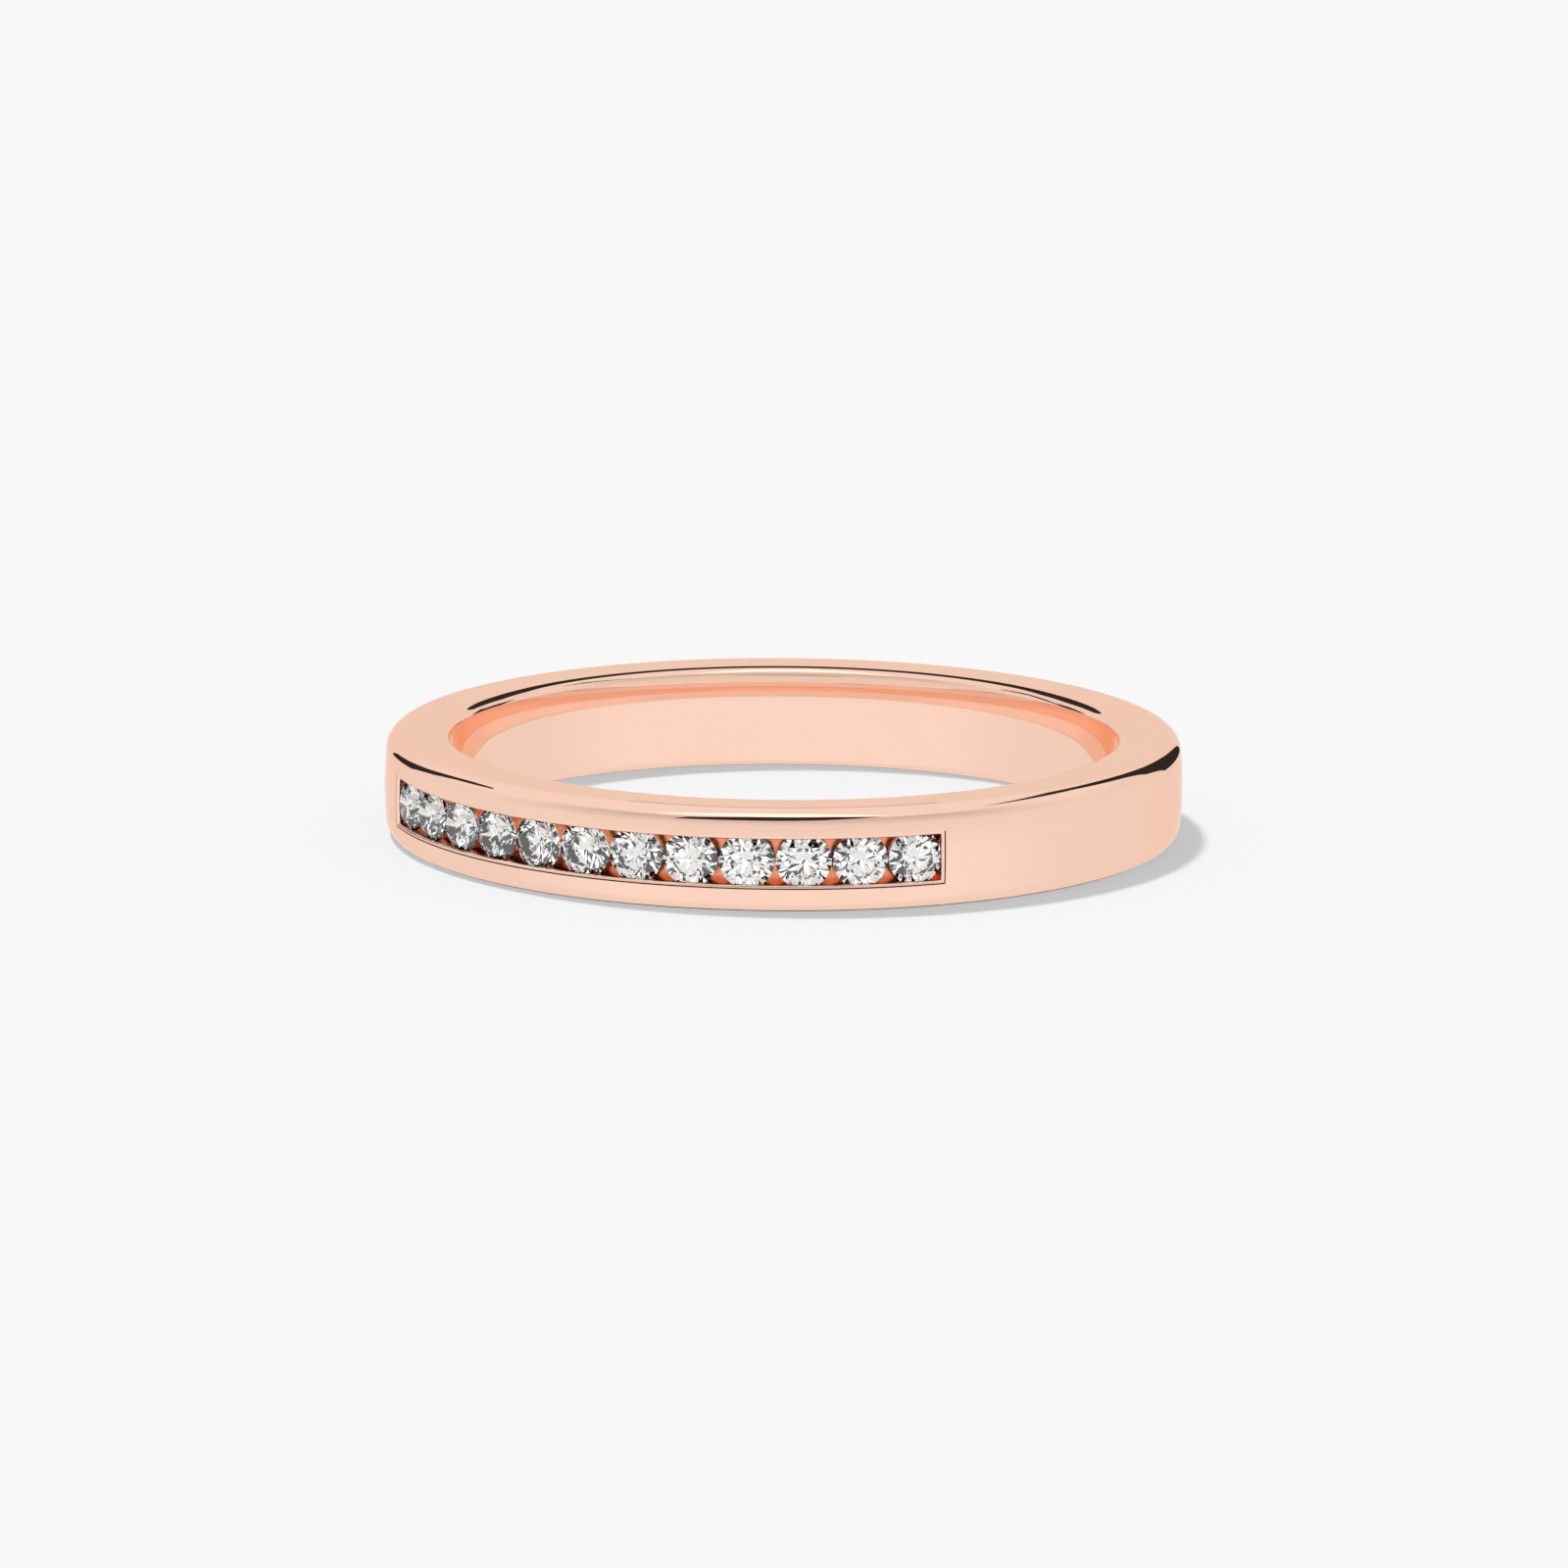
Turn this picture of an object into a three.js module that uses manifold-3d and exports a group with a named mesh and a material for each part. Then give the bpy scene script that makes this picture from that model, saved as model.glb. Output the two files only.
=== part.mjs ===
// Wedding band: a rose gold ring with a channel of twelve round brilliants let into it.
//
// Millimetres, +Z up. The ring lies on one side face, so its axis is +Z and z = 0 is the
// face that it rests on. The origin is the centre of that face, and the row of stones is
// centred on -Y.

import * as THREE from 'three';
import { ConvexGeometry } from 'three/addons/geometries/ConvexGeometry.js';
import { mergeVertices } from 'three/addons/utils/BufferGeometryUtils.js';
import Module from 'manifold-3d';

// ---- Driving dimensions ------------------------------------------------------------

// The ring
const INSIDE_DIAMETER = 17; // finger size: just over US 6 1/2
const WALL = 1.75;
const WIDTH = 2.64;
const CROWN_RADIUS = 10; // the outer wall is slightly domed across its width
const OUTER_EDGE = 0.42; // radius of the two outer edges
const INNER_EDGE = 0.28; // radius of the two inner edges
const COMFORT_RADIUS = 6; // the bore's wall curves away to both sides of a flat middle
const BORE_FLAT = 0.6; // width of that middle

// The stones
const STONE_COUNT = 12;
const STONE_DIAMETER = 1.41;
const STONE_PITCH = THREE.MathUtils.degToRad(8.22); // round the ring, centre to centre
const TABLE_DROP = 0.02; // how far a stone's table lies below the ring's outer surface

// The cut of a round brilliant, as fractions of its diameter
const TABLE = 0.57;
const STAR_LENGTH = 0.5; // of the way from the table's edge to the girdle
const LOWER_HALF_LENGTH = 0.77; // of the way from the girdle to the culet
const GIRDLE = 0.03;
const CROWN_ANGLE = THREE.MathUtils.degToRad(34.5);
const PAVILION_ANGLE = THREE.MathUtils.degToRad(40.75);

// The setting
const CHANNEL_WIDTH = 1.17; // narrower than the stones, so its walls hold their girdles
const FLOOR_DROP = 0.25; // from the girdles down to the channel's floor
const SEAT_GAP = 0.025; // between a stone and the seat that is cut for it

// How finely round shapes are divided
const RING_SIDES = 96;
const EDGE_STEPS = 4;
const COMFORT_STEPS = 2;
const CROWN_STEPS = 2;
const GIRDLE_SIDES = 32;
const SEAT_SIDES = 24;
const CHANNEL_STEPS = 2 * STONE_COUNT;

// ---- Worked out from them ----------------------------------------------------------

const INSIDE_RADIUS = INSIDE_DIAMETER / 2;
const OUTSIDE_RADIUS = INSIDE_RADIUS + WALL;
const STONE_RADIUS = STONE_DIAMETER / 2;
const HALF_GIRDLE = (GIRDLE * STONE_DIAMETER) / 2;
const TABLE_RADIUS = TABLE * STONE_RADIUS;
const CROWN_HEIGHT = (STONE_RADIUS - TABLE_RADIUS) * Math.tan(CROWN_ANGLE);
const PAVILION_DEPTH = STONE_RADIUS * Math.tan(PAVILION_ANGLE);

// Distance from the ring's axis to the middle of a stone's girdle
const GIRDLE_REACH = OUTSIDE_RADIUS - TABLE_DROP - CROWN_HEIGHT - HALF_GIRDLE;
const FLOOR_RADIUS = GIRDLE_REACH - HALF_GIRDLE - FLOOR_DROP;
const CHANNEL_HALF_ANGLE = (STONE_COUNT * STONE_PITCH) / 2;

// ---- Materials ---------------------------------------------------------------------

const roseGold = () => new THREE.MeshStandardMaterial({ color: 0xf6bfa4, roughness: 0.08, metalness: 1 });
const diamond = () => new THREE.MeshStandardMaterial({ color: 0xf2f4f6, roughness: 0.02, metalness: 0 });

// ---- Booleans ----------------------------------------------------------------------

const wasm = await Module();
wasm.setup();

function toSolid(geometry) {
  const bare = geometry.clone();
  bare.deleteAttribute('normal');
  bare.deleteAttribute('uv');
  const merged = mergeVertices(bare);
  const vertProperties = new Float32Array(merged.attributes.position.array);
  const triVerts = new Uint32Array(merged.index.array);
  return new wasm.Manifold(new wasm.Mesh({ numProp: 3, vertProperties, triVerts }));
}

function toGeometry(solid) {
  const mesh = solid.getMesh();
  const geometry = new THREE.BufferGeometry();
  geometry.setAttribute('position', new THREE.BufferAttribute(mesh.vertProperties, 3));
  geometry.setIndex(new THREE.BufferAttribute(mesh.triVerts, 1));
  geometry.computeVertexNormals();
  return geometry;
}

// ---- The ring ----------------------------------------------------------------------

// Section through the wall, from the middle of the bore down, out and round to it again
function sectionPoints() {
  const quarter = Math.PI / 2;
  const middle = (WIDTH - BORE_FLAT) / 2; // height where the lower comfort curve meets the flat
  const reach = COMFORT_RADIUS - INNER_EDGE;
  const turn = Math.asin((middle - INNER_EDGE) / reach); // of the comfort curve
  const comfortX = INSIDE_RADIUS + COMFORT_RADIUS;
  const innerX = comfortX - reach * Math.cos(turn);
  const crownX = OUTSIDE_RADIUS - CROWN_RADIUS;
  const crownReach = CROWN_RADIUS - OUTER_EDGE;
  const crownTurn = Math.asin((WIDTH / 2 - OUTER_EDGE) / crownReach);
  const outerX = crownX + crownReach * Math.cos(crownTurn);
  const arcs = [
    [comfortX, middle, COMFORT_RADIUS, 2 * quarter, 2 * quarter + turn, COMFORT_STEPS],
    [innerX, INNER_EDGE, INNER_EDGE, 2 * quarter + turn, 3 * quarter, EDGE_STEPS],
    [outerX, OUTER_EDGE, OUTER_EDGE, -quarter, -crownTurn, EDGE_STEPS],
    [crownX, WIDTH / 2, CROWN_RADIUS, -crownTurn, crownTurn, CROWN_STEPS],
    [outerX, WIDTH - OUTER_EDGE, OUTER_EDGE, crownTurn, quarter, EDGE_STEPS],
    [innerX, WIDTH - INNER_EDGE, INNER_EDGE, quarter, 2 * quarter - turn, EDGE_STEPS],
    [comfortX, WIDTH - middle, COMFORT_RADIUS, 2 * quarter - turn, 2 * quarter, COMFORT_STEPS],
  ];
  const points = [];
  for (const [x, y, radius, start, end, steps] of arcs) {
    const arc = new THREE.Path().absarc(x, y, radius, start, end, false);
    const [first, ...rest] = arc.getPoints(steps / 2); // an arc gets twice the steps asked for
    const meetsLast = points.length > 0 && points.at(-1).distanceTo(first) < 1e-6;
    points.push(...(meetsLast ? rest : [first, ...rest]));
  }
  points.push(points[0].clone());
  return points;
}

function plainRing() {
  return new THREE.LatheGeometry(sectionPoints(), RING_SIDES).rotateX(Math.PI / 2);
}

// The channel: a slot along the outer surface, square at both ends
function channelCutter() {
  const beyond = OUTSIDE_RADIUS + 1;
  const middle = -Math.PI / 2;
  const start = middle - CHANNEL_HALF_ANGLE;
  const end = middle + CHANNEL_HALF_ANGLE;
  const outline = new THREE.Shape();
  outline.absarc(0, 0, beyond, start, end, false);
  outline.absarc(0, 0, FLOOR_RADIUS, end, start, true);
  outline.closePath();
  // An arc gets twice the segments asked for
  const options = { depth: CHANNEL_WIDTH, bevelEnabled: false, curveSegments: CHANNEL_STEPS / 2 };
  return new THREE.ExtrudeGeometry(outline, options).translate(0, 0, (WIDTH - CHANNEL_WIDTH) / 2);
}

// The seat of one stone: room for its crown under the channel's walls, and a 45 degree cone
// below its girdle that ends inside the wall. Its axis is +Y, with the girdle's middle at the
// origin.
function seatCutter() {
  const wide = STONE_RADIUS + SEAT_GAP;
  const ledge = HALF_GIRDLE + SEAT_GAP;
  const profile = [
    [0, -ledge - wide],
    [wide, -ledge],
    [wide, ledge],
    [0, ledge + wide * Math.tan(CROWN_ANGLE)],
  ];
  return new THREE.LatheGeometry(profile.map(([x, y]) => new THREE.Vector2(x, y)), SEAT_SIDES);
}

// ---- The stones --------------------------------------------------------------------

// Corners of a round brilliant. Its axis is +Y, with the girdle's middle at the origin.
function brilliantCorners() {
  const corners = [];
  const eighth = Math.PI / 4;
  const put = (radius, angle, height) =>
    corners.push(new THREE.Vector3(radius * Math.cos(angle), height, radius * Math.sin(angle)));

  const tableHeight = HALF_GIRDLE + CROWN_HEIGHT;
  const culetHeight = -HALF_GIRDLE - PAVILION_DEPTH;
  const tableEdge = TABLE_RADIUS * Math.cos(eighth / 2);
  const starRadius = THREE.MathUtils.lerp(tableEdge, STONE_RADIUS, STAR_LENGTH);
  const starReach = starRadius * Math.cos(eighth / 2);
  const starHeight = tableHeight - (starReach - TABLE_RADIUS) * Math.tan(CROWN_ANGLE);
  const lowerRadius = STONE_RADIUS * (1 - LOWER_HALF_LENGTH);
  const lowerHeight = culetHeight + lowerRadius * Math.cos(eighth / 2) * Math.tan(PAVILION_ANGLE);

  put(0, 0, culetHeight);
  for (let i = 0; i < 8; i++) {
    put(TABLE_RADIUS, i * eighth, tableHeight);
    put(starRadius, (i + 0.5) * eighth, starHeight);
    put(lowerRadius, (i + 0.5) * eighth, lowerHeight);
  }
  for (let i = 0; i < GIRDLE_SIDES; i++) {
    const angle = (i * 2 * Math.PI) / GIRDLE_SIDES;
    put(STONE_RADIUS, angle, HALF_GIRDLE);
    put(STONE_RADIUS, angle, -HALF_GIRDLE);
  }
  return corners;
}

// Moves a shape whose axis is +Y to the place of stone number i, pointing away from the bore
function atStone(geometry, i) {
  const angle = (i - (STONE_COUNT - 1) / 2) * STONE_PITCH;
  return geometry
    .clone()
    .rotateX(Math.PI)
    .translate(0, -GIRDLE_REACH, 0)
    .rotateZ(angle)
    .translate(0, 0, WIDTH / 2);
}

// ---- Assembly ----------------------------------------------------------------------

function setBand() {
  let band = toSolid(plainRing()).subtract(toSolid(channelCutter()));
  const seat = seatCutter();
  for (let i = 0; i < STONE_COUNT; i++) {
    band = band.subtract(toSolid(atStone(seat, i)));
  }
  const mesh = new THREE.Mesh(toGeometry(band), roseGold());
  mesh.name = 'band';
  return mesh;
}

function stone(i) {
  const mesh = new THREE.Mesh(atStone(new ConvexGeometry(brilliantCorners()), i), diamond());
  mesh.name = `diamond_${String(i + 1).padStart(2, '0')}`;
  return mesh;
}

const ring = new THREE.Group();
ring.add(setBand());
for (let i = 0; i < STONE_COUNT; i++) {
  ring.add(stone(i));
}

export default ring;
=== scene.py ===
"""Wedding band: a polished rose gold ring with a channel of twelve brilliants, on a pale floor.

The CAD frame gives the ring's size and the place of every stone. Shapes are worked out here in
millimetres, in the frame's own axes, and scaled to metres as they enter the scene.
"""
import math
from collections import namedtuple

import bmesh
import bpy
from mathutils import Matrix, Vector


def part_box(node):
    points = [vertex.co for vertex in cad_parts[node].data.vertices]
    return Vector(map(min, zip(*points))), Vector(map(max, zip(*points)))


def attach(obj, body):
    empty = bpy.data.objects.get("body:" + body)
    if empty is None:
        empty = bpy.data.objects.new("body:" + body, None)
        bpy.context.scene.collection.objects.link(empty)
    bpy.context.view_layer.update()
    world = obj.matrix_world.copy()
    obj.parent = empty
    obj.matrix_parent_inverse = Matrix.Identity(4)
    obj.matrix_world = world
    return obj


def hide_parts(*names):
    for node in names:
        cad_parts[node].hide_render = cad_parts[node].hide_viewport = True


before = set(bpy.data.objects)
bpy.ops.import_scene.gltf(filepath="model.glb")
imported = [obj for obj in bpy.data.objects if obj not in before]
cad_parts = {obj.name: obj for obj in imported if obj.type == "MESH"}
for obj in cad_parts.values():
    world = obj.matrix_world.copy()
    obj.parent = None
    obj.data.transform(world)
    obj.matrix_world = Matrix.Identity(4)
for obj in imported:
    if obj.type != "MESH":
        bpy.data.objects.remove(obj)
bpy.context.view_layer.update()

MM = 0.001

# ---- Sizes in millimetres ----------------------------------------------------------------

# Taken from the frame
BAND_LOW, BAND_HIGH = (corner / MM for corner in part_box("band"))
OUTSIDE_RADIUS = (BAND_HIGH.x - BAND_LOW.x) / 2
WIDTH = BAND_HIGH.z - BAND_LOW.z
INSIDE_RADIUS = min(math.hypot(v.co.x, v.co.y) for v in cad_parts["band"].data.vertices) / MM
STONE_NODES = sorted(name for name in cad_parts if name.startswith("diamond_"))

# The ring's section
CROWN_RADIUS = 10  # the outer wall is slightly domed across its width
OUTER_EDGE = 0.42  # radius of the two outer edges
INNER_EDGE = 0.28  # radius of the two inner edges
COMFORT_RADIUS = 6  # the bore's wall curves away to both sides of a flat middle
BORE_FLAT = 0.6  # width of that middle
CROWN_STEPS = 6
EDGE_STEPS = 20
COMFORT_STEPS = 8

# The channel and the seats
CHANNEL_WIDTH = 1.17  # narrower than the stones, so its walls hold their girdles
LIP = 0.075  # radius of the rounded lips
GROOVE = 0.035  # width of the fine groove outside them, on the lower side and at both ends, which painted shade turns into a dark line
HALF_MOUTH = CHANNEL_WIDTH / 2 + LIP + GROOVE
FLOOR_DROP = 0.25  # from the girdles down to the channel's floor
SEAT_GAP = 0.025  # between a stone and its seat
MOUTH_STEPS = 8
LIP_STEPS = 6
SEAT_SIDES = 64
COLUMNS_PER_STONE = 20

# The cut of a round brilliant, as fractions of its diameter
TABLE = 0.57
STAR_LENGTH = 0.5  # of the way from the table's edge to the girdle
LOWER_HALF_LENGTH = 0.77  # of the way from the girdle to the culet
GIRDLE = 0.03
CROWN_ANGLE = math.radians(34.5)
PAVILION_ANGLE = math.radians(40.75)
GIRDLE_SIDES = 64
SPIN = math.radians(137.5)  # from one stone to the next, so that no two are turned alike

# ---- Where the stones are ----------------------------------------------------------------

Stone = namedtuple("Stone", "node angle reach radius")


def read_stone(node):
    """A CAD stone's azimuth, the distance from the ring's axis to its girdle, and its radius."""
    places = [v.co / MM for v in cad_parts[node].data.vertices]
    culet = min(places, key=lambda p: math.hypot(p.x, p.y))
    low, high = (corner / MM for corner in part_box(node))
    radius = (high.z - low.z) / 2
    depth = radius * math.tan(PAVILION_ANGLE) + GIRDLE * radius
    return Stone(node, math.atan2(culet.y, culet.x), math.hypot(culet.x, culet.y) + depth, radius)


STONES = [read_stone(node) for node in STONE_NODES]
STONE_RADIUS = STONES[0].radius
GIRDLE_REACH = STONES[0].reach
HALF_GIRDLE = GIRDLE * STONE_RADIUS
STONE_PITCH = (STONES[-1].angle - STONES[0].angle) / (len(STONES) - 1)

# The channel reaches half a pitch beyond the middle of the stone at each end
CHANNEL_MIDDLE = (STONES[0].angle + STONES[-1].angle) / 2
CHANNEL_HALF = len(STONES) * STONE_PITCH / 2
CHANNEL_START, CHANNEL_END = CHANNEL_MIDDLE - CHANNEL_HALF, CHANNEL_MIDDLE + CHANNEL_HALF
CHANNEL_COLUMNS = len(STONES) * COLUMNS_PER_STONE


def place_of(stone):
    """Matrix that stands a shape, whose axis is +Z and whose girdle is at 0, at a stone's place."""
    outward = Vector((math.cos(stone.angle), math.sin(stone.angle), 0))
    spot = outward * stone.reach + Vector((0, 0, WIDTH / 2))
    return Matrix.Translation(spot) @ outward.to_track_quat("Z", "Y").to_matrix().to_4x4()


def on_ring(radius, angle, height):
    return Vector((radius * math.cos(angle), radius * math.sin(angle), height))


def new_object(name, bm, scale):
    """An object with the built mesh, scaled."""
    mesh = bpy.data.meshes.new(name)
    bm.to_mesh(mesh)
    bm.free()
    mesh.transform(Matrix.Scale(scale, 4))
    made = bpy.data.objects.new(name, mesh)
    bpy.context.scene.collection.objects.link(made)
    return made


# ---- The band's section ------------------------------------------------------------------

Arc = namedtuple("Arc", "radius height size start end steps")


def section_arcs():
    """The rounded parts of the wall's section, in order from the channel's lower lip to its upper."""
    half = (WIDTH - BORE_FLAT) / 2
    comfort = math.asin((half - INNER_EDGE) / (COMFORT_RADIUS - INNER_EDGE))
    comfort_in = INSIDE_RADIUS + COMFORT_RADIUS
    edge_in = comfort_in - (COMFORT_RADIUS - INNER_EDGE) * math.cos(comfort)
    crown = math.asin((WIDTH / 2 - OUTER_EDGE) / (CROWN_RADIUS - OUTER_EDGE))
    crown_in = OUTSIDE_RADIUS - CROWN_RADIUS
    edge_out = crown_in + (CROWN_RADIUS - OUTER_EDGE) * math.cos(crown)
    mouth = math.asin(HALF_MOUTH / CROWN_RADIUS)
    up, left = math.pi / 2, math.pi
    return [
        Arc(crown_in, WIDTH / 2, CROWN_RADIUS, -mouth, -crown, CROWN_STEPS),
        Arc(edge_out, OUTER_EDGE, OUTER_EDGE, -crown, -up, EDGE_STEPS),
        Arc(edge_in, INNER_EDGE, INNER_EDGE, -up, comfort - left, EDGE_STEPS),
        Arc(comfort_in, half, COMFORT_RADIUS, comfort - left, -left, COMFORT_STEPS),
        Arc(comfort_in, WIDTH - half, COMFORT_RADIUS, left, left - comfort, COMFORT_STEPS),
        Arc(edge_in, WIDTH - INNER_EDGE, INNER_EDGE, left - comfort, up, EDGE_STEPS),
        Arc(edge_out, WIDTH - OUTER_EDGE, OUTER_EDGE, up, crown, EDGE_STEPS),
        Arc(crown_in, WIDTH / 2, CROWN_RADIUS, crown, mouth, CROWN_STEPS),
    ]


def section_outline():
    """Points (radius, height) of the section, from the channel's lower lip to its upper lip."""
    points = []
    for arc in section_arcs():
        for i in range(arc.steps + 1):
            turn = arc.start + (arc.end - arc.start) * i / arc.steps
            point = (arc.radius + arc.size * math.cos(turn), arc.height + arc.size * math.sin(turn))
            if not points or math.dist(point, points[-1]) > 1e-6:
                points.append(point)
    return points


def crown_radius_at(offset):
    """Radius of the domed outer wall at a height above or below its middle."""
    return OUTSIDE_RADIUS - CROWN_RADIUS + math.sqrt(CROWN_RADIUS**2 - offset**2)


def across_mouth(half_height):
    """Heights from the wall's middle between the lower and the upper lip, both left out."""
    return [half_height * (2 * i / MOUTH_STEPS - 1) for i in range(1, MOUTH_STEPS)]


# ---- The band ----------------------------------------------------------------------------

POLISHED, CUT = 0, 1  # the band's materials
UPPER_START = CHANNEL_COLUMNS + MOUTH_STEPS  # of the upper side, in a loop round the channel

# A loop round the channel: its distance in from the mouth, its two sides' depths below the
# wall's surface, and the materials of the faces that lead down to it
Level = namedtuple("Level", "inset lower_depth upper_depth material upper_material")


def wall_point(bm, angle, offset, depth=0):
    """A point of the domed outer wall, or at a depth below it, at a height from its middle."""
    return bm.verts.new(on_ring(crown_radius_at(offset) - depth, angle, WIDTH / 2 + offset))


def column_angles():
    """Azimuths of the turned surface's columns, once round the ring from the channel's start."""
    channel = CHANNEL_END - CHANNEL_START
    rest = 2 * math.pi - channel
    rest_columns = round(CHANNEL_COLUMNS * rest / channel)
    angles = [CHANNEL_START + channel * i / CHANNEL_COLUMNS for i in range(CHANNEL_COLUMNS)]
    return angles + [CHANNEL_END + rest * i / rest_columns for i in range(rest_columns)]


def turned_surface(bm):
    """All but the channel. Gives the columns of points round the section, and the bridges that
    carry the outer wall on across the channel's mouth where there is no channel."""
    angles, outline = column_angles(), section_outline()
    columns = [[bm.verts.new(on_ring(r, angle, z)) for r, z in outline] for angle in angles]
    bridges = {}
    for i in (0, *range(CHANNEL_COLUMNS, len(angles))):
        between = [wall_point(bm, angles[i], offset) for offset in across_mouth(HALF_MOUTH)]
        bridges[i] = [columns[i][0], *between, columns[i][-1]]
    for i, column in enumerate(columns):
        following = (i + 1) % len(columns)
        strips = [(column, columns[following])]
        if i >= CHANNEL_COLUMNS:
            strips.append((bridges[i], bridges[following]))
        for here, there in strips:
            for j in range(len(here) - 1):
                bm.faces.new((here[j], here[j + 1], there[j + 1], there[j]))
    return columns, bridges


def channel_levels():
    """From the mouth down: the groove, the rounded lip and the wall. The upper side has no
    groove, so its faces there are polished."""
    levels = [
        Level(GROOVE / 2, GROOVE / 2, 0, CUT, POLISHED),
        Level(GROOVE, 0, 0, CUT, POLISHED),
    ]
    for i in range(1, LIP_STEPS + 1):
        turn = math.pi / 2 * i / LIP_STEPS
        depth = LIP * (1 - math.cos(turn))
        levels.append(Level(GROOVE + LIP * math.sin(turn), depth, depth, POLISHED, POLISHED))
    floor = crown_radius_at(CHANNEL_WIDTH / 2) - (GIRDLE_REACH - HALF_GIRDLE - FLOOR_DROP)
    levels.append(Level(GROOVE + LIP, floor, floor, CUT, CUT))
    return levels


def channel_loop(bm, level):
    """Points along the channel's lower side, up its end, back along its upper side and down its
    start."""
    turn = level.inset / OUTSIDE_RADIUS
    start, length = CHANNEL_START + turn, CHANNEL_END - CHANNEL_START - 2 * turn
    along = [start + length * i / CHANNEL_COLUMNS for i in range(CHANNEL_COLUMNS + 1)]
    high = HALF_MOUTH - level.inset
    loop = [wall_point(bm, angle, -high, level.lower_depth) for angle in along]
    loop += [wall_point(bm, along[-1], offset, level.lower_depth) for offset in across_mouth(high)]
    loop += [wall_point(bm, angle, high, level.upper_depth) for angle in reversed(along)]
    loop += [wall_point(bm, along[0], -offset, level.lower_depth) for offset in across_mouth(high)]
    return loop


def channel_walls(bm, loop):
    """The channel's faces from the loop of its mouth down. Gives its lowest loop."""
    upper_side = range(UPPER_START, UPPER_START + CHANNEL_COLUMNS)
    for level in channel_levels():
        deeper = channel_loop(bm, level)
        for i in range(len(loop)):
            j = (i + 1) % len(loop)
            face = bm.faces.new((loop[i], loop[j], deeper[j], deeper[i]))
            face.material_index = level.upper_material if i in upper_side else level.material
        loop = deeper
    return loop


def channel_floor(bm, loop):
    """Strips across the channel, from the lower side of its lowest loop to the upper side. The
    first and the last strip take in the points up the channel's ends."""
    for i in range(CHANNEL_COLUMNS):
        corners = [loop[i], loop[i + 1]]
        if i == CHANNEL_COLUMNS - 1:
            corners += loop[CHANNEL_COLUMNS + 1 : UPPER_START]
        across = UPPER_START + CHANNEL_COLUMNS - i
        corners += [loop[across - 1], loop[across]]
        if i == 0:
            corners += loop[across + 1 :]
        bm.faces.new(corners).material_index = CUT


def plain_band():
    """The ring with its channel, before the seats are cut."""
    bm = bmesh.new()
    columns, bridges = turned_surface(bm)
    beside = columns[: CHANNEL_COLUMNS + 1]
    mouth = [column[0] for column in beside] + bridges[CHANNEL_COLUMNS][1:-1]
    mouth += [column[-1] for column in reversed(beside)] + bridges[0][-2:0:-1]
    channel_floor(bm, channel_walls(bm, mouth))
    bmesh.ops.recalc_face_normals(bm, faces=bm.faces)
    return new_object("band_polished", bm, 1)


def lathe(name, profile, sides):
    """A closed solid of revolution about +Z from (radius, height) points that end on the axis."""
    bm = bmesh.new()
    foot = bm.verts.new((0, 0, profile[0][1]))
    head = bm.verts.new((0, 0, profile[-1][1]))
    turns = [2 * math.pi * i / sides for i in range(sides)]
    rings = [[bm.verts.new(on_ring(r, turn, z)) for turn in turns] for r, z in profile[1:-1]]
    for i in range(sides):
        j = (i + 1) % sides
        bm.faces.new((foot, rings[0][j], rings[0][i]))
        bm.faces.new((head, rings[-1][i], rings[-1][j]))
        for lower, upper in zip(rings, rings[1:]):
            bm.faces.new((lower[i], lower[j], upper[j], upper[i]))
    bmesh.ops.recalc_face_normals(bm, faces=bm.faces)
    return new_object(name, bm, 1)


def seat_cutter(stone):
    """Room for a stone under the lips, and a 45 degree cone below its girdle."""
    wide = stone.radius + SEAT_GAP
    ledge = HALF_GIRDLE + SEAT_GAP
    profile = [
        (0, -wide - ledge),
        (wide, -ledge),
        (wide, ledge),
        (0, ledge + wide * math.tan(CROWN_ANGLE)),
    ]
    cutter = lathe("cutter_" + stone.node, profile, SEAT_SIDES)
    for _ in (POLISHED, CUT):
        cutter.data.materials.append(None)
    for face in cutter.data.polygons:
        face.material_index = CUT
    cutter.matrix_world = place_of(stone)
    return cutter


def cut_seats(band):
    cutters = [seat_cutter(stone) for stone in STONES]
    for cutter in cutters:
        cut = band.modifiers.new(cutter.name, "BOOLEAN")
        cut.solver = "MANIFOLD"
        cut.operation = "DIFFERENCE"
        cut.object = cutter
    depsgraph = bpy.context.evaluated_depsgraph_get()
    finished = bpy.data.meshes.new_from_object(band.evaluated_get(depsgraph), depsgraph=depsgraph)
    band.modifiers.clear()
    band.data = finished
    for cutter in cutters:
        bpy.data.objects.remove(cutter)


NEAR = 1e-3  # how far off the turned surface, or past an arc's end, a point may still belong to it
FACING = 0.98  # cosine between a face and the true normals at its corners, if they belong to it
SHARP_ANGLE = math.radians(28)


def turned_normal(place):
    """The normal of the turned surface at a point on it, or None inside the channel."""
    out = Vector((place.x, place.y, 0))
    radius, height = out.length, place.z
    out.normalize()
    offset = height - WIDTH / 2
    if abs(offset) < HALF_MOUTH and abs(radius - crown_radius_at(offset)) < NEAR:
        along_crown = Vector((0, 0, offset))
        return (out * (radius - OUTSIDE_RADIUS + CROWN_RADIUS) + along_crown).normalized()
    for arc in section_arcs():
        across, along = radius - arc.radius, height - arc.height
        low, high = sorted((arc.start, arc.end))
        turn = math.atan2(along, across)
        within = any(low - NEAR < t < high + NEAR for t in (turn, turn - 2 * math.pi))
        if within and abs(math.hypot(across, along) - arc.size) < NEAR:
            return (out * across + Vector((0, 0, along))).normalized()
    if abs(radius - INSIDE_RADIUS) < NEAR:
        return -out
    if height < NEAR:
        return Vector((0, 0, -1))
    if height > WIDTH - NEAR:
        return Vector((0, 0, 1))
    return None


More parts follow.
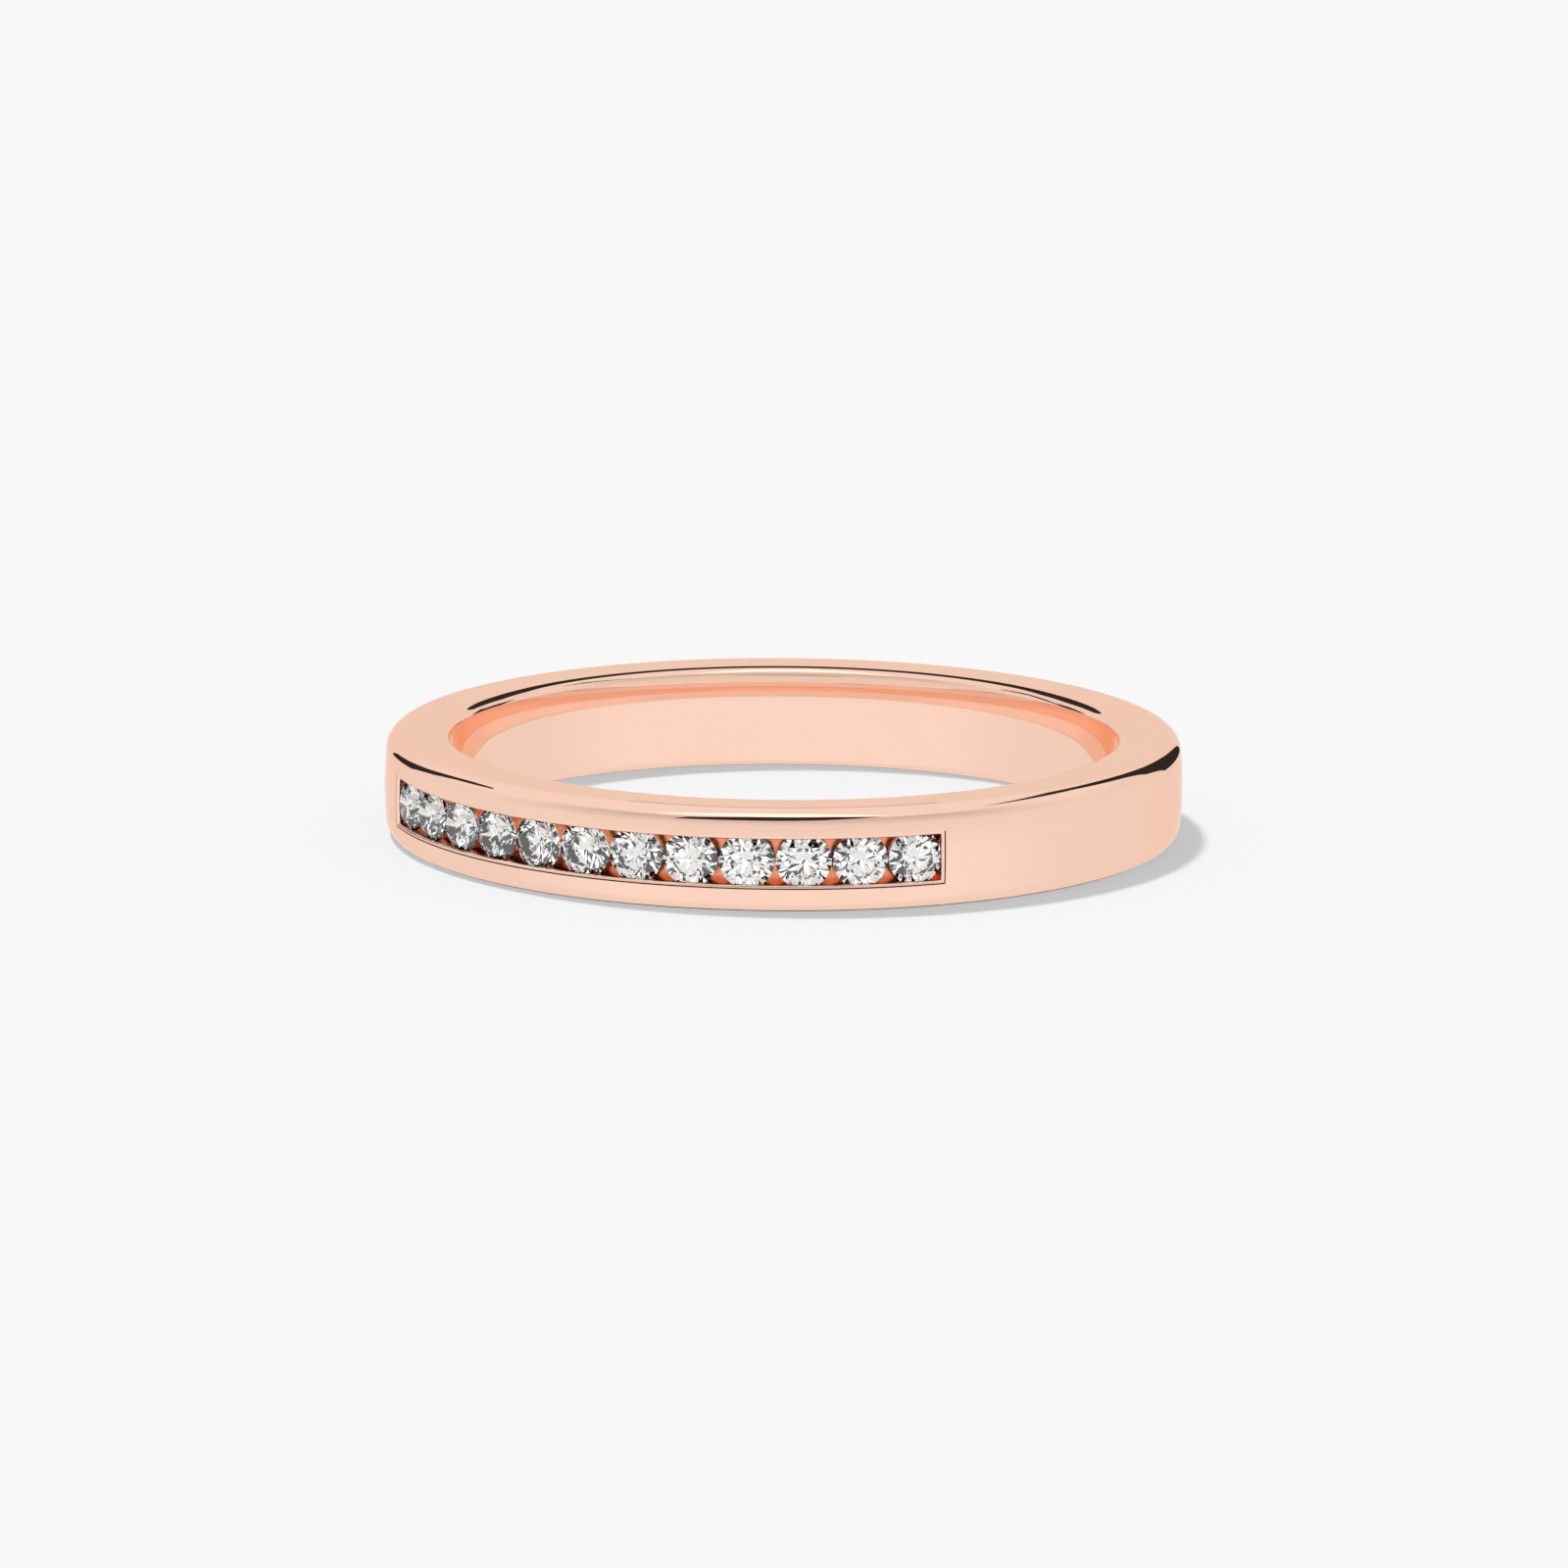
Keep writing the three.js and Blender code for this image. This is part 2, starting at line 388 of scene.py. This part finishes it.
def shade_band(mesh):
    """Smooth shading, with true normals on the turned surface."""
    ideal = [turned_normal(v.co) for v in mesh.vertices]
    mesh.shade_smooth()
    mesh.set_sharp_from_angle(angle=SHARP_ANGLE)
    custom = [Vector((0, 0, 0))] * len(mesh.loops)  # zero leaves a corner's normal as it is
    for face in mesh.polygons:
        normals = [ideal[i] for i in face.vertices]
        turned = all(normal and normal.dot(face.normal) > FACING for normal in normals)
        if face.material_index == POLISHED and turned:
            for loop, normal in zip(face.loop_indices, normals):
                custom[loop] = normal
    mesh.normals_split_custom_set(custom)


def make_band():
    band = plain_band()
    band.data.materials.append(polished_gold())
    band.data.materials.append(cut_gold())
    cut_seats(band)
    shade_band(band.data)
    band.data.transform(Matrix.Scale(MM, 4))
    band.visible_transmission = False  # the stones don't show the gold behind them
    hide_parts("band")
    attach(band, "root")


# ---- The stones --------------------------------------------------------------------------

def brilliant(name, radius):
    """A 57-facet round brilliant about +Z, with its girdle at 0 and flat facets throughout."""
    bm = bmesh.new()
    eighth = math.pi / 4
    per_eighth = GIRDLE_SIDES // 8
    half_girdle = GIRDLE * radius
    table_radius = TABLE * radius
    table_height = half_girdle + (radius - table_radius) * math.tan(CROWN_ANGLE)
    culet_height = -half_girdle - radius * math.tan(PAVILION_ANGLE)
    table_edge = table_radius * math.cos(eighth / 2)
    star_radius = table_edge + (radius - table_edge) * STAR_LENGTH
    star_fall = (star_radius * math.cos(eighth / 2) - table_radius) * math.tan(CROWN_ANGLE)
    lower_radius = radius * (1 - LOWER_HALF_LENGTH)
    lower_rise = lower_radius * math.cos(eighth / 2) * math.tan(PAVILION_ANGLE)

    def put(ring_radius, turn, height):
        return bm.verts.new(on_ring(ring_radius, turn, height))

    culet = put(0, 0, culet_height)
    tables = [put(table_radius, k * eighth, table_height) for k in range(8)]
    stars = [put(star_radius, (k + 0.5) * eighth, table_height - star_fall) for k in range(8)]
    lowers = [put(lower_radius, (k + 0.5) * eighth, culet_height + lower_rise) for k in range(8)]

    # The girdle is scalloped where the flat halves meet its round wall: a half's plane runs
    # through its inner corner and through the girdle's ends at the half's own height.
    def scallop(inner, side):
        def height(turn):
            within = turn % (eighth / 2)
            chord = radius * math.cos(eighth / 4)
            depth = radius * math.cos(within - eighth / 4) - chord
            inner_depth = chord - math.hypot(inner.co.x, inner.co.y) * math.cos(eighth / 4)
            return side * half_girdle + depth * (side * half_girdle - inner.co.z) / inner_depth
        return height

    top, bottom = scallop(stars[0], 1), scallop(lowers[0], -1)
    turns = [2 * math.pi * j / GIRDLE_SIDES for j in range(GIRDLE_SIDES)]
    upper_rim = [put(radius, turn, top(turn)) for turn in turns]
    lower_rim = [put(radius, turn, bottom(turn)) for turn in turns]

    bm.faces.new(tables)
    for k in range(8):
        main = k * per_eighth
        half, following = main + per_eighth // 2, main + per_eighth
        bm.faces.new((tables[k], stars[k], tables[(k + 1) % 8]))
        bm.faces.new((tables[k], stars[k - 1], upper_rim[main], stars[k]))
        bm.faces.new((culet, lowers[k], lower_rim[main], lowers[k - 1]))
        for first, last in ((main, half), (half, following)):
            span = [j % GIRDLE_SIDES for j in range(first, last + 1)]
            bm.faces.new([stars[k]] + [upper_rim[j] for j in span])
            bm.faces.new([lowers[k]] + [lower_rim[j] for j in reversed(span)])
    for j in range(GIRDLE_SIDES):
        i = (j + 1) % GIRDLE_SIDES
        bm.faces.new((lower_rim[j], lower_rim[i], upper_rim[i], upper_rim[j]))
    bmesh.ops.recalc_face_normals(bm, faces=bm.faces)
    return new_object(name, bm, 1)


def make_stones():
    material = diamond()
    for i, stone in enumerate(STONES):
        made = brilliant(stone.node.replace("diamond", "brilliant"), stone.radius)
        spin = Matrix.Rotation(SPIN * i, 4, "Z")
        made.data.transform(Matrix.Scale(MM, 4) @ place_of(stone) @ spin)
        made.data.materials.append(material)
        made.cycles.ao_distance = LATE_REACH_IN_STONE
        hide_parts(stone.node)
        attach(made, "root")


# ---- Materials ---------------------------------------------------------------------------

GOLD_COLOURS = (0.985, 0.745, 0.64), (1.0, 0.76, 0.655)
GOLD_GLANCING_TINT = (1.0, 0.87, 0.79)
GOLD_ROUGHNESS = 0.015, 0.035
# the cut gold's colour, deepened to the orange of light bounced between gold walls: a painted
# reflection colour
CUT_GOLD_AND_PAINTED_BOUNCE_COLOURS = (0.85, 0.30, 0.15), (1.0, 0.42, 0.24)
CUT_ROUGHNESS = 0.16, 0.3
# painted shade: the near-black painted into the groove and under the lips, where shade falls
CUT_PAINTED_SHADE = (0.09, 0.05, 0.035)
CUT_PAINTED_SHADE_DEPTHS = 0.1, 0.2  # in millimetres: the painted shade is all dark down to the first, none below the second
DIAMOND_COLOURS = (0.985, 0.99, 1.0), (1.0, 1.0, 1.0)
DIAMOND_MIRROR_TINT = (0.82, 0.92, 1.0)
DIAMOND_IOR = 2.417
FLOOR_COLOUR = (0.85, 0.85, 0.85)


def new_material(name):
    material = bpy.data.materials.new(name)
    material.use_nodes = True
    return material, material.node_tree.nodes, material.node_tree.links


def noise(nodes, links, scale, detail):
    """Noise fixed to the object, in turns per metre."""
    place = nodes.new("ShaderNodeTexCoord")
    texture = nodes.new("ShaderNodeTexNoise")
    texture.inputs["Scale"].default_value = scale
    texture.inputs["Detail"].default_value = detail
    links.new(place.outputs["Object"], texture.inputs["Vector"])
    return texture.outputs["Fac"]


def spread(nodes, links, value, low, high):
    """Noise spread between two numbers. Nearly all of its own values lie in 0.3 to 0.7."""
    mapped = nodes.new("ShaderNodeMapRange")
    mapped.inputs["From Min"].default_value = 0.3
    mapped.inputs["From Max"].default_value = 0.7
    mapped.inputs["To Min"].default_value = low
    mapped.inputs["To Max"].default_value = high
    links.new(value, mapped.inputs["Value"])
    return mapped.outputs["Result"]


def ramp(nodes, links, value, *stops):
    """Colours blended along (position, colour) stops."""
    made = nodes.new("ShaderNodeValToRGB")
    elements = made.color_ramp.elements
    while len(elements) < len(stops):
        elements.new(1)
    for element, (position, colour) in zip(elements, stops):
        element.position = position
        element.color = (*colour, 1)
    links.new(value, made.inputs["Fac"])
    return made.outputs["Color"]


def clouded(nodes, links, value, first, second):
    """Two colours blended by noise."""
    return ramp(nodes, links, value, (0.35, first), (0.65, second))


def polished_gold():
    material, nodes, links = new_material("rose_gold_polished")
    shader = nodes["Principled BSDF"]
    shader.inputs["Metallic"].default_value = 1
    shader.inputs["Specular Tint"].default_value = (*GOLD_GLANCING_TINT, 1)
    clouds = noise(nodes, links, scale=400, detail=3)
    links.new(clouded(nodes, links, clouds, *GOLD_COLOURS), shader.inputs["Base Color"])
    links.new(spread(nodes, links, clouds, *GOLD_ROUGHNESS), shader.inputs["Roughness"])
    return material


def depth_in_channel(nodes, links, shallow, deep):
    """0 to 1 from one depth below the ring's outside radius, in millimetres, to another: the mask
    that fades out the cut gold's painted shade.
    """
    place = nodes.new("ShaderNodeTexCoord")
    flat = nodes.new("ShaderNodeVectorMath")
    flat.operation = "MULTIPLY"
    flat.inputs[1].default_value = (1, 1, 0)
    links.new(place.outputs["Object"], flat.inputs[0])
    radius = nodes.new("ShaderNodeVectorMath")
    radius.operation = "LENGTH"
    links.new(flat.outputs["Vector"], radius.inputs[0])
    mapped = nodes.new("ShaderNodeMapRange")
    mapped.inputs["From Min"].default_value = (OUTSIDE_RADIUS - shallow) * MM
    mapped.inputs["From Max"].default_value = (OUTSIDE_RADIUS - deep) * MM
    links.new(radius.outputs["Value"], mapped.inputs["Value"])
    return mapped.outputs["Result"]


def cut_gold():
    """Inside the channel: painted shade in the fine lines at its mouth, a deep orange of painted
    bounced light on its floor.
    """
    material, nodes, links = new_material("rose_gold_cut")
    shader = nodes["Principled BSDF"]
    shader.inputs["Metallic"].default_value = 1
    marks = noise(nodes, links, scale=9000, detail=4)
    # painted shade: near black at the channel's mouth, fading out with depth
    dark = nodes.new("ShaderNodeMix")
    dark.data_type = "RGBA"
    dark.inputs["A"].default_value = (*CUT_PAINTED_SHADE, 1)
    links.new(depth_in_channel(nodes, links, *CUT_PAINTED_SHADE_DEPTHS), dark.inputs["Factor"])
    # the cut gold, painted the deep orange of light bounced between gold walls
    links.new(clouded(nodes, links, marks, *CUT_GOLD_AND_PAINTED_BOUNCE_COLOURS), dark.inputs["B"])
    links.new(dark.outputs["Result"], shader.inputs["Base Color"])
    links.new(spread(nodes, links, marks, *CUT_ROUGHNESS), shader.inputs["Roughness"])
    return material


def diamond():
    material, nodes, links = new_material("diamond")
    shader = nodes["Principled BSDF"]
    shader.inputs["Transmission Weight"].default_value = 1
    shader.inputs["IOR"].default_value = DIAMOND_IOR
    shader.inputs["Specular Tint"].default_value = (*DIAMOND_MIRROR_TINT, 1)
    shader.inputs["Roughness"].default_value = 0
    clouds = noise(nodes, links, scale=900, detail=2)
    links.new(clouded(nodes, links, clouds, *DIAMOND_COLOURS), shader.inputs["Base Color"])
    return material


def floor_paper():
    material, nodes, _ = new_material("floor_paper")
    shader = nodes["Principled BSDF"]
    shader.inputs["Base Color"].default_value = (*FLOOR_COLOUR, 1)
    shader.inputs["Roughness"].default_value = 1
    shader.inputs["Specular IOR Level"].default_value = 0
    return material


# ---- The camera --------------------------------------------------------------------------

CAMERA_AZIMUTH = math.radians(25.8)  # from the middle of the row of stones
CAMERA_ELEVATION = math.radians(11.5)
CAMERA_ROLL = math.radians(0.35)
CAMERA_DISTANCE = 40 * OUTSIDE_RADIUS
RING_SHARE = 0.5085  # of the picture's width that the ring's diameter takes up
AIM_RIGHT, AIM_UP = 0.01, -0.06  # from the ring's middle to the picture's, in millimetres
SENSOR_WIDTH = 36
CLIP_START, CLIP_END = 0.01, 10  # metres


def seen_from_camera(azimuth, elevation):
    """Unit vector in the frame for a direction given as the camera has it: azimuth 0 is towards
    the camera, 90 to its right, and elevation is above the floor, all in degrees."""
    a, e = math.radians(azimuth) + CAMERA_AZIMUTH, math.radians(elevation)
    return Vector((math.sin(a) * math.cos(e), -math.cos(a) * math.cos(e), math.sin(e)))


def make_camera():
    data = bpy.data.cameras.new("camera")
    data.sensor_width = SENSOR_WIDTH
    picture_width = 2 * OUTSIDE_RADIUS / RING_SHARE
    data.lens = SENSOR_WIDTH * CAMERA_DISTANCE / picture_width
    data.clip_start, data.clip_end = CLIP_START, CLIP_END
    camera = bpy.data.objects.new("camera", data)
    bpy.context.scene.collection.objects.link(camera)
    back = seen_from_camera(0, math.degrees(CAMERA_ELEVATION))
    facing = (-back).to_track_quat("-Z", "Y").to_matrix()
    aim = Vector((0, 0, WIDTH / 2)) + facing @ Vector((AIM_RIGHT, AIM_UP, 0))
    place = Matrix.Translation((aim + back * CAMERA_DISTANCE) * MM)
    camera.matrix_world = place @ facing.to_4x4() @ Matrix.Rotation(CAMERA_ROLL, 4, "Z")
    bpy.context.scene.camera = camera


# ---- The floor and the sky ---------------------------------------------------------------

FLOOR_SIDE = 4.0  # metres
WARM_WHITE = (1.0, 0.89, 0.82)  # the dome and the cards, as they are reflected
COOL_WHITE = (0.95, 1.0, 1.05)  # the dome, as it is seen through the stones
SKY_FILL = 0.12  # how much the dome lights the floor

# The dome's (half height, brightness) stops: 0.5 is the horizon and 1 straight up
BEHIND = (0.47, 0.90), (0.51, 0.88), (0.65, 0.88), (0.78, 0.94)
IN_FRONT = (
    (0.42, 0.98), (0.47, 0.91), (0.52, 0.84), (0.65, 0.76), (0.79, 0.64), (0.84, 0.64), (0.86, 0.94)
)
FRONT_EDGE = -0.1, 0.6  # cosines from the camera's side between which they meet

# What is seen through the stones, as (noise, brightness) stops
PATCHES = (0.485, 0), (0.522, 0.42), (0.552, 1.05), (0.66, 1.7)
PATCH_SCALE, PATCH_DETAIL = 3.2, 1


def make_floor():
    """The floor shows its shadows to the camera, and isn't seen in reflections."""
    bm = bmesh.new()
    bmesh.ops.create_grid(bm, x_segments=8, y_segments=8, size=FLOOR_SIDE / 2)
    floor = new_object("floor", bm, 1)
    floor.data.materials.append(floor_paper())
    floor.visible_glossy = False


def tinted(tint, stops):
    return [(position, [grey * part for part in tint]) for position, grey in stops]


def mixed(nodes, links, factor, first, second):
    mix = nodes.new("ShaderNodeMix")
    mix.data_type = "RGBA"
    links.new(factor, mix.inputs["Factor"])
    links.new(first, mix.inputs["A"])
    links.new(second, mix.inputs["B"])
    return mix.outputs["Result"]


def half_height(nodes, links, direction):
    """Half of a direction's height, plus a half."""
    parts = nodes.new("ShaderNodeSeparateXYZ")
    links.new(direction, parts.inputs["Vector"])
    made = nodes.new("ShaderNodeMath")
    made.operation = "MULTIPLY_ADD"
    made.inputs[1].default_value = made.inputs[2].default_value = 0.5
    links.new(parts.outputs["Z"], made.inputs[0])
    return made.outputs["Value"]


def frontness(nodes, links, direction):
    """0 behind the ring to 1 in front of it."""
    cosine = nodes.new("ShaderNodeVectorMath")
    cosine.operation = "DOT_PRODUCT"
    cosine.inputs[1].default_value = seen_from_camera(0, 0)
    links.new(direction, cosine.inputs[0])
    made = nodes.new("ShaderNodeMapRange")
    made.interpolation_type = "SMOOTHSTEP"
    made.inputs["From Min"].default_value, made.inputs["From Max"].default_value = FRONT_EDGE
    links.new(cosine.outputs["Value"], made.inputs["Value"])
    return made.outputs["Result"]


def patches(nodes, links, direction):
    """Bright and dark patches, as between the panels of a light tent, which give the stones'
    facets contrast."""
    texture = nodes.new("ShaderNodeTexNoise")
    texture.inputs["Scale"].default_value = PATCH_SCALE
    texture.inputs["Detail"].default_value = PATCH_DETAIL
    links.new(direction, texture.inputs["Vector"])
    return ramp(nodes, links, texture.outputs["Fac"], *tinted(COOL_WHITE, PATCHES))


def make_sky():
    """A white dome, greyer in front up to about 45 degrees. Through the stones patches are seen
    instead, and the floor is lit by an even grey."""
    world = bpy.data.worlds.new("studio")
    bpy.context.scene.world = world
    world.use_nodes = True
    nodes, links = world.node_tree.nodes, world.node_tree.links
    direction = nodes.new("ShaderNodeTexCoord").outputs["Generated"]
    height = half_height(nodes, links, direction)
    behind = ramp(nodes, links, height, *tinted(WARM_WHITE, BEHIND))
    in_front = ramp(nodes, links, height, *tinted(WARM_WHITE, IN_FRONT))
    dome = mixed(nodes, links, frontness(nodes, links, direction), behind, in_front)
    fill = nodes.new("ShaderNodeRGB").outputs["Color"]
    fill.default_value = (SKY_FILL, SKY_FILL, SKY_FILL, 1)
    ray = nodes.new("ShaderNodeLightPath").outputs
    seen = mixed(nodes, links, ray["Is Diffuse Ray"], dome, fill)
    seen = mixed(nodes, links, ray["Is Transmission Ray"], seen, patches(nodes, links, direction))
    links.new(seen, nodes["Background"].inputs["Color"])


# ---- The lights --------------------------------------------------------------------------

KEY_STRENGTH, FILL_STRENGTH = 1.34, 1.83
KEY_FROM, FILL_FROM = (-131, 70), (0, 90)  # azimuth and elevation
SUN_ANGLE = math.radians(7)


def make_sun(name, strength, direction, casts_shadow):
    """A broad soft light for the floor alone: neither the gold nor the stones show it."""
    data = bpy.data.lights.new(name, "SUN")
    data.energy = strength
    data.angle = SUN_ANGLE
    data.use_shadow = casts_shadow
    sun = bpy.data.objects.new(name, data)
    bpy.context.scene.collection.objects.link(sun)
    sun.rotation_euler = seen_from_camera(*direction).to_track_quat("Z", "Y").to_euler()
    sun.visible_glossy = False
    sun.visible_transmission = False


def make_lights():
    make_sun("key", KEY_STRENGTH, KEY_FROM, True)
    make_sun("fill", FILL_STRENGTH, FILL_FROM, False)


# ---- The cards, which only reflections show ----------------------------------------------

BLACK = 0.03  # brightness of the dark cards
STRIP_BRIGHTNESS = 1.5
DIVIDER_BRIGHTNESS = 0.87
STRIP_DISTANCE = 600  # millimetres, as all that follow
FLAG_DISTANCE = 40
LOW_HEIGHT = 8  # of the level cards, above the ring

# Each divider's reach behind the ring's axis, and its rise above the ring's upper face
DIVIDERS = [((7.4, 10.2), (1.6, 7)), ((-3.2, -1.6), (-0.5, 2.8))]

# The contact shade is a flat ring between two radii, just under the floor's surface
CONTACT_RADII = INSIDE_RADIUS + 0.26, OUTSIDE_RADIUS - 0.31
CONTACT_HEIGHT = -0.002
CONTACT_SIDES = 256


def make_card(name, faces, brightness):
    """A card from its faces' corners in millimetres."""
    bm = bmesh.new()
    for corners in faces:
        bm.faces.new([bm.verts.new(corner) for corner in corners])
    card = new_object(name, bm, MM)
    material, nodes, _ = new_material(name)
    shader = nodes["Principled BSDF"]
    shader.inputs["Base Color"].default_value = (0, 0, 0, 1)
    shader.inputs["Specular IOR Level"].default_value = 0
    shader.inputs["Emission Color"].default_value = (*WARM_WHITE, 1)
    shader.inputs["Emission Strength"].default_value = brightness
    card.data.materials.append(material)
    card.visible_camera = False
    card.visible_diffuse = False
    card.visible_transmission = False
    card.visible_shadow = False


def standing_card(name, brightness, distance, *directions):
    """A card whose corners are at (azimuth, elevation) as seen from the ring's upper face."""
    centre = Vector((0, 0, WIDTH))
    make_card(name, [[centre + seen_from_camera(*d) * distance for d in directions]], brightness)


def hanging_card(name, *spots):
    """A dark level card just above the ring. A corner is (to the right, towards the camera)."""
    right, front = seen_from_camera(90, 0), seen_from_camera(0, 0)
    up = Vector((0, 0, WIDTH + LOW_HEIGHT))
    make_card(name, [[right * x + front * y + up for x, y in spots]], BLACK)


def make_dividers():
    """Upright white cards in and over the hole, edge on to the camera. They keep the flags out
    of the reflections in the far wall and its upper edge."""
    back = -seen_from_camera(0, 0)
    faces = []
    for (near, far), (low, high) in DIVIDERS:
        corners = (near, low), (far, low), (far, high), (near, high)
        faces.append([back * reach + Vector((0, 0, WIDTH + rise)) for reach, rise in corners])
    make_card("divider", faces, DIVIDER_BRIGHTNESS)


def make_contact_shade():
    """The dark gap between the ring's rounded lower edges and the floor, as the edges show it."""
    turns = [2 * math.pi * i / CONTACT_SIDES for i in range(CONTACT_SIDES)]
    inner, outer = ([on_ring(r, turn, CONTACT_HEIGHT) for turn in turns] for r in CONTACT_RADII)
    sides = [(i, (i + 1) % CONTACT_SIDES) for i in range(CONTACT_SIDES)]
    quads = [(inner[i], inner[j], outer[j], outer[i]) for i, j in sides]
    make_card("contact_shade", quads, BLACK)


def make_cards():
    """The flags give the dark lines along the ring's rounded edges, and the strip the bright ones."""
    standing_card(
        "flag_right", BLACK, FLAG_DISTANCE,
        (152, -7), (129, -5), (119, 12), (121, 27), (117, 41), (91, 47),
        (69, 46.5), (100, 51.5), (134, 46), (142, 36), (140, 24), (144, 13),
    )
    standing_card(
        "flag_left", BLACK, FLAG_DISTANCE,
        (-141, -3), (-122, 2), (-113, 16), (-110, 27), (-98, 34),
        (-105, 38), (-118, 36), (-122, 30), (-124, 22), (-130, 13), (-138, 5),
    )
    hanging_card("flag_behind", (-4.5, -11.2), (4.5, -11.2), (4.5, -20.6), (-4.5, -20.6))
    hanging_card(
        "flag_front",
        (-12, 23.6), (-5, 22.8), (0, 22.4), (3.5, 20.8), (7, 15.8), (3, 14.4), (-2, 14.8), (-7, 17.2),
    )
    standing_card(
        "strip_front", STRIP_BRIGHTNESS, STRIP_DISTANCE, (-50, 52), (40, 51), (40, 84), (-50, 84)
    )
    make_dividers()
    make_contact_shade()


# ---- The picture -------------------------------------------------------------------------

# After this many bounces a ray meets only what is nearer than LATE_REACH, and else it sees the
# dome. Inside a stone it still reaches the stone's own facets, and then it is dark.
EARLY_BOUNCES = 2
LATE_REACH = 1e-5  # metres
LATE_REACH_IN_STONE = 1  # metres


def set_picture():
    scene = bpy.context.scene
    scene.view_settings.view_transform = "Standard"
    scene.cycles.caustics_reflective = scene.cycles.caustics_refractive = False
    scene.cycles.use_fast_gi = True
    scene.cycles.fast_gi_method = "REPLACE"
    scene.cycles.ao_bounces_render = EARLY_BOUNCES
    scene.world.light_settings.distance = LATE_REACH
    scene.cycles.max_bounces = 24
    scene.cycles.transmission_bounces = 24
    scene.cycles.glossy_bounces = 12


make_camera()
make_floor()
make_sky()
make_lights()
make_cards()
make_band()
make_stones()
set_picture()
